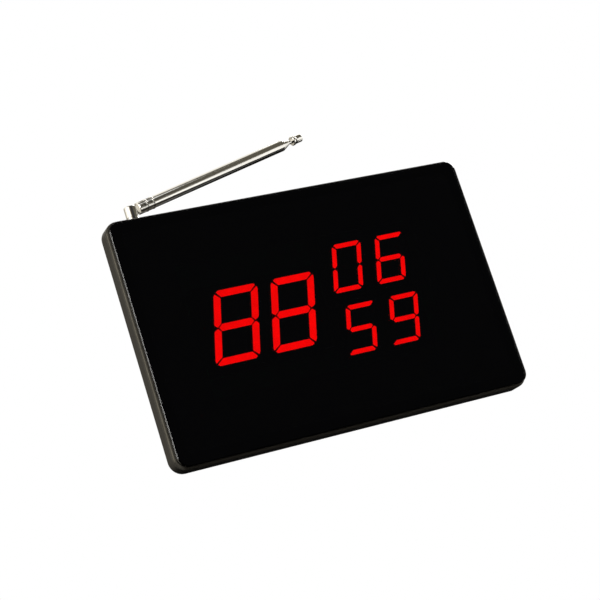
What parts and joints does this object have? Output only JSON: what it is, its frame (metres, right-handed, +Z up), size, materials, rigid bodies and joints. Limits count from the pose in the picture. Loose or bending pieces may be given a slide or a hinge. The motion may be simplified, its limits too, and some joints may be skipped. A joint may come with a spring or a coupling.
{
  "type": "wireless call display receiver",
  "caption": "Wall-hung call display receiver: black slab with smoked front panel, red seven-segment figures and a swivelling telescopic antenna.",
  "frame": {"origin": "middle of the back face, which lies against the wall", "axes": "+X to the right seen from the front, +Y back into the wall, +Z up"},
  "size_m": [0.2, 0.027, 0.1644],
  "materials": {
    "smoked_acrylic": "polished smoked black",
    "foam_tape": "matt black foam",
    "satin_abs": "satin black moulding",
    "textured_abs": "fine sparked texture",
    "black_steel": "black oxide",
    "display_moulding": "matt black",
    "lit_epoxy": "glowing red",
    "unlit_epoxy": "dark red",
    "tinned_metal": "tinned",
    "circuit_board": "green solder mask",
    "zinc_steel": "zinc plated",
    "chip_epoxy": "moulded epoxy",
    "capacitor_sleeve": "shrunk sleeve",
    "jack_plastic": "moulded black",
    "speaker_film": "translucent film",
    "wire_sleeve": "red sleeve",
    "wire_sleeve_black": "black sleeve",
    "key_rubber": "matt grey silicone",
    "label_film": "blank silver film",
    "nickel_brass": "nickel plated",
    "chrome_brass": "bright chrome plate"
  },
  "bodies": {
    "case": {"front_panel": "smoked_acrylic", "panel_tape": "foam_tape", "front_case": "satin_abs", "rear_cover": "textured_abs", "case_screws": "black_steel", "display_large_body": "display_moulding", "display_upper_body": "display_moulding", "display_lower_body": "display_moulding", "segments_large_lit": "lit_epoxy", "segments_upper_lit": "lit_epoxy", "segments_lower_lit": "lit_epoxy", "segments_unlit": "unlit_epoxy", "display_pins": "tinned_metal", "main_board": "circuit_board", "board_screws": "zinc_steel", "controller_chip": "chip_epoxy", "driver_chips": "chip_epoxy", "memory_chip": "chip_epoxy", "voltage_regulator": "chip_epoxy", "timing_crystal": "tinned_metal", "capacitors": "capacitor_sleeve", "chip_resistors": "chip_epoxy", "receiver_board": "circuit_board", "receiver_can": "tinned_metal", "dc_jack_body": "jack_plastic", "dc_jack_pin": "tinned_metal", "dc_jack_tabs": "tinned_metal", "speaker_frame": "black_steel", "speaker_cone": "speaker_film", "speaker_magnet": "tinned_metal", "speaker_ring": "foam_tape", "speaker_wires": "wire_sleeve", "switch_bodies": "jack_plastic", "blank_label": "label_film", "antenna_bush": "nickel_brass", "solder_tag": "nickel_brass", "antenna_wire": "wire_sleeve_black"},
    "swivel": {"swivel_post": "chrome_brass", "hinge_pin": "chrome_brass", "shank_washer": "zinc_steel", "shank_screw": "zinc_steel"},
    "arm": {"arm_plug": "chrome_brass", "base_tube": "chrome_brass"},
    "tube_2": {"section_2": "chrome_brass"},
    "tube_3": {"section_3": "chrome_brass"},
    "tube_4": {"section_4": "chrome_brass"},
    "tip": {"tip_rod": "chrome_brass", "tip_knob": "chrome_brass"},
    "key_menu": {"button_menu": "key_rubber"},
    "key_up": {"button_up": "key_rubber"},
    "key_down": {"button_down": "key_rubber"},
    "key_set": {"button_set": "key_rubber"}
  },
  "joints": [
    {"name": "antenna_swivel", "type": "hinge", "parent": "case", "child": "swivel", "pos_m": [-0.0826, -0.0195, 0.06425], "axis": [0, 0, 1], "continuous": true},
    {"name": "antenna_tilt", "type": "hinge", "parent": "swivel", "child": "arm", "pos_m": [-0.0826, -0.0195, 0.06885], "axis": [0.1392, -0.9903, 0], "range_deg": [-14.7, 75.3]},
    {"name": "extend_section_2", "type": "slide", "parent": "arm", "child": "tube_2", "axis": [0.9579, 0.1346, 0.2538], "range_m": [0, 0.08]},
    {"name": "extend_section_3", "type": "slide", "parent": "tube_2", "child": "tube_3", "axis": [0.9579, 0.1346, 0.2538], "range_m": [0, 0.08]},
    {"name": "extend_section_4", "type": "slide", "parent": "tube_3", "child": "tube_4", "axis": [0.9579, 0.1346, 0.2538], "range_m": [0, 0.08]},
    {"name": "extend_tip", "type": "slide", "parent": "tube_4", "child": "tip", "axis": [0.9579, 0.1346, 0.2538], "range_m": [0, 0.08]},
    {"name": "press_menu", "type": "slide", "parent": "case", "child": "key_menu", "axis": [0, -1, 0], "range_m": [0, 0.0005], "stiffness_N_per_m": 100, "springref_m": -0.002},
    {"name": "press_up", "type": "slide", "parent": "case", "child": "key_up", "axis": [0, -1, 0], "range_m": [0, 0.0005], "stiffness_N_per_m": 100, "springref_m": -0.002},
    {"name": "press_down", "type": "slide", "parent": "case", "child": "key_down", "axis": [0, -1, 0], "range_m": [0, 0.0005], "stiffness_N_per_m": 100, "springref_m": -0.002},
    {"name": "press_set", "type": "slide", "parent": "case", "child": "key_set", "axis": [0, -1, 0], "range_m": [0, 0.0005], "stiffness_N_per_m": 100, "springref_m": -0.002}
  ]
}
